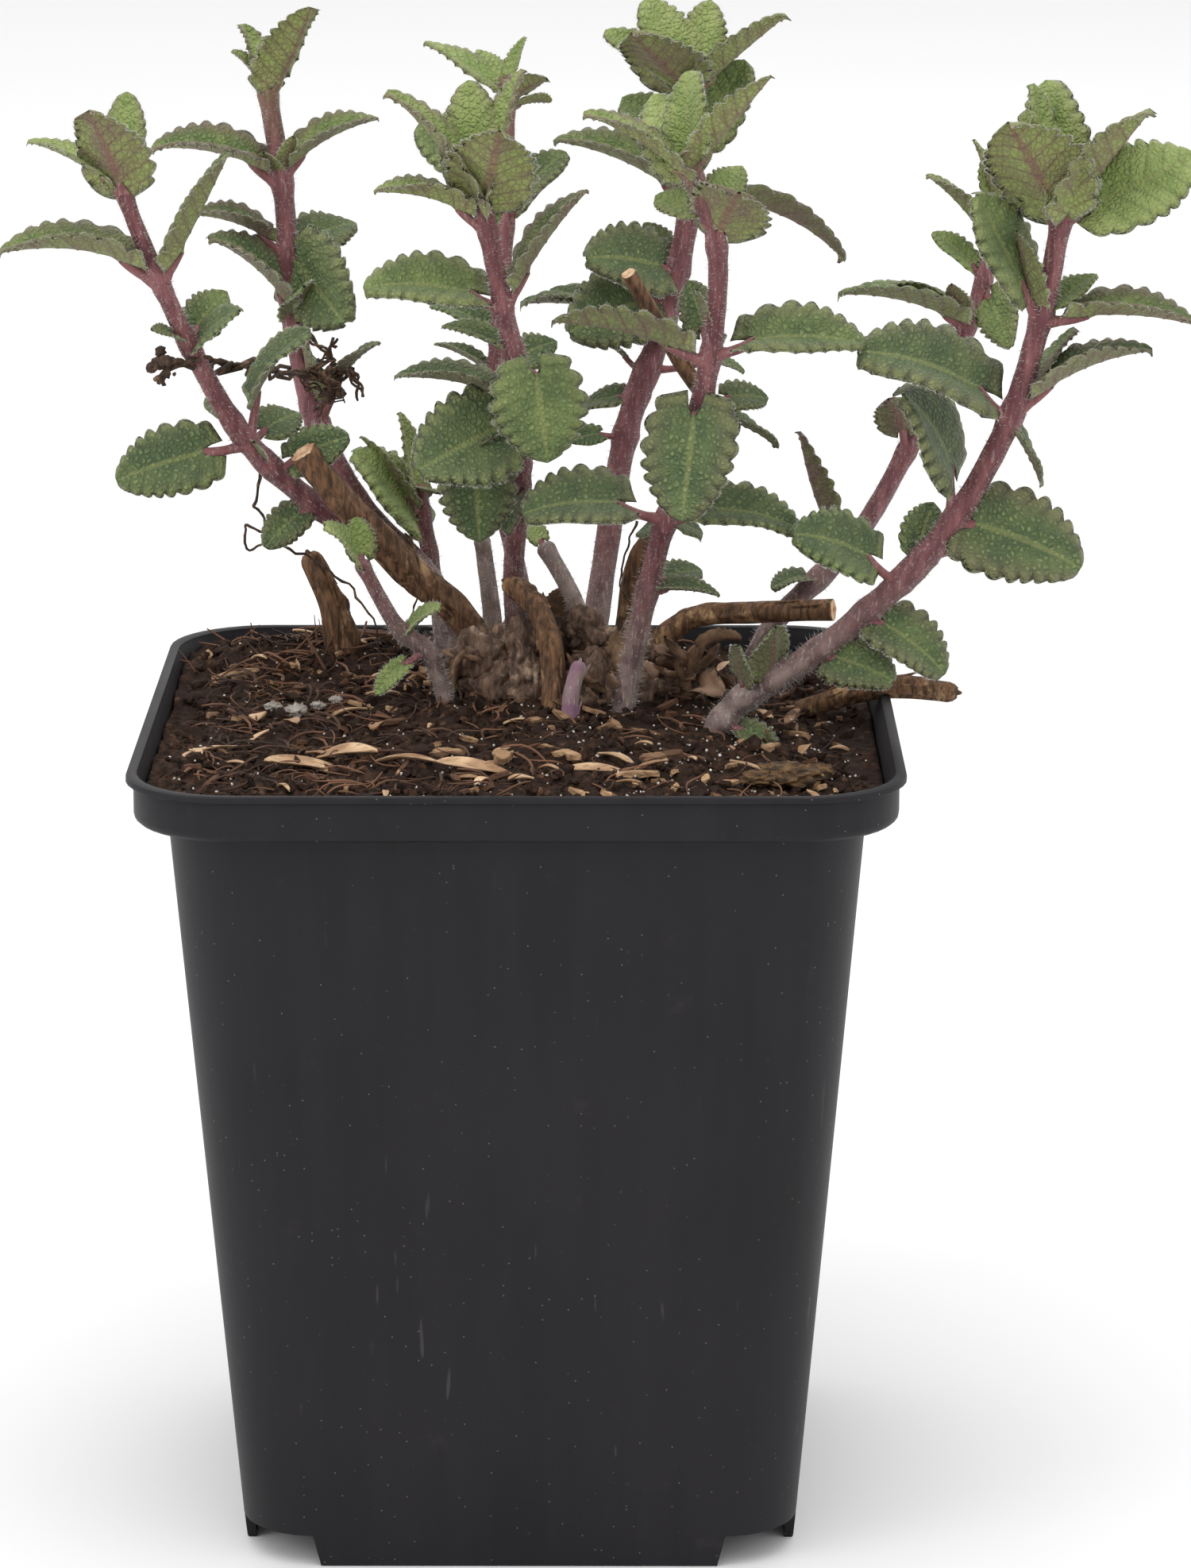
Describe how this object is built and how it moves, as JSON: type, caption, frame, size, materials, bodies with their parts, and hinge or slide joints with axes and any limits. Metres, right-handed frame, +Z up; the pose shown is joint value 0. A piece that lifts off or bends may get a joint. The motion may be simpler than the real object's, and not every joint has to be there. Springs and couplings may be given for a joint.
{
  "type": "potted catmint",
  "caption": "Young bushy catmint with crinkled grey-green leaves on reddish hairy stems, growing in a square tapered black nursery pot.",
  "frame": {"origin": "middle of the whole part's footprint, at the foot of the pot", "axes": "+Z up the pot, +X to the plant's right seen from the front, +Y away from the front"},
  "size_m": [0.1436, 0.09, 0.1779],
  "materials": {
    "pot_plastic": "satin",
    "potting_mix": "matte",
    "stem": "matte",
    "old_stem": "matte",
    "dead_wood": "matte",
    "leaf": "matte",
    "bark_chip": "matte"
  },
  "bodies": {
    "root": {"bark_chip_1": "bark_chip", "bark_chip_2": "bark_chip", "bark_end": "dead_wood", "crown": "dead_wood", "curved_stub": "dead_wood", "leaf_back_right_1": "leaf", "leaf_back_short_1": "leaf", "leaf_centre_1": "leaf", "leaf_centre_2": "leaf", "leaf_centre_3": "leaf", "leaf_centre_4": "leaf", "leaf_centre_5": "leaf", "leaf_front_1": "leaf", "leaf_front_2": "leaf", "leaf_front_3": "leaf", "leaf_front_4": "leaf", "leaf_front_5": "leaf", "leaf_left_1": "leaf", "leaf_left_2": "leaf", "leaf_left_3": "leaf", "leaf_left_4": "leaf", "leaf_left_5": "leaf", "leaf_outer_left_1": "leaf", "leaf_outer_left_2": "leaf", "leaf_outer_left_3": "leaf", "leaf_outer_left_4": "leaf", "leaf_outer_left_5": "leaf", "leaf_outer_left_6": "leaf", "leaf_right_1": "leaf", "leaf_right_2": "leaf", "leaf_right_3": "leaf", "leaf_right_4": "leaf", "leaf_right_5": "leaf", "leaf_right_6": "leaf", "leaf_right_7": "leaf", "leaf_slim_1": "leaf", "leaf_tall_1": "leaf", "leaf_tall_2": "leaf", "leaf_tall_3": "leaf", "leaf_tall_4": "leaf", "level_cut_stick": "dead_wood", "long_cut_stick": "dead_wood", "pot": "pot_plastic", "potting_soil": "potting_mix", "purple_stub": "dead_wood", "snapped_stump": "dead_wood", "stem_back_right": "stem", "stem_back_short": "stem", "stem_centre": "stem", "stem_front": "stem", "stem_grey_back": "old_stem", "stem_grey_middle": "old_stem", "stem_left": "stem", "stem_low_left": "stem", "stem_outer_left": "stem", "stem_right": "stem", "stem_slim": "stem", "stem_tall": "stem", "thick_cut_stick": "dead_wood"}
  },
  "joints": []
}
